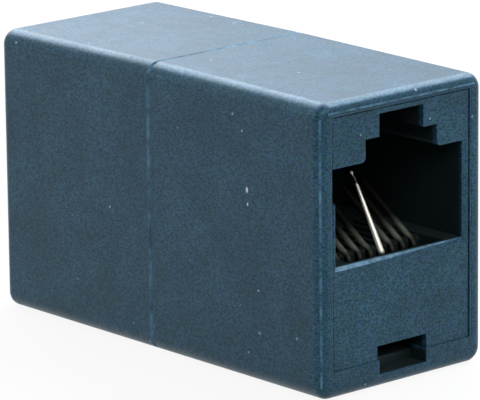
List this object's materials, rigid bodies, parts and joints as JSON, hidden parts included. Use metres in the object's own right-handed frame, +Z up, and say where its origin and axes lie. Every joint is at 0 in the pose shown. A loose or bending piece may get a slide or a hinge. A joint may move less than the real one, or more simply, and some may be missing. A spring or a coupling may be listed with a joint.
{
  "type": "modular plug inline coupler",
  "caption": "Rectangular inline coupler: two half shells with a keyed modular jack and spring contacts in each end, for joining two network leads.",
  "frame": {"origin": "middle of the bottom face", "axes": "+X across the coupler, +Y along it from the front jack to the rear jack, +Z up towards the latch slots"},
  "size_m": [0.0152, 0.034, 0.0207],
  "materials": {
    "shell_plastic": "fine moulded grain, slate blue",
    "jack_plastic": "fine moulded grain, slate blue",
    "carrier_plastic": "dark moulded plastic",
    "contact_plating": "bright pale gold plating on spring wire"
  },
  "bodies": {
    "root": {"front_shell": "shell_plastic", "rear_shell": "shell_plastic", "front_jack": "jack_plastic", "rear_jack": "jack_plastic", "front_carrier": "carrier_plastic", "rear_carrier": "carrier_plastic", "contact_1": "contact_plating", "contact_2": "contact_plating", "contact_3": "contact_plating", "contact_4": "contact_plating", "contact_5": "contact_plating", "contact_6": "contact_plating", "contact_7": "contact_plating", "contact_8": "contact_plating"}
  },
  "joints": []
}
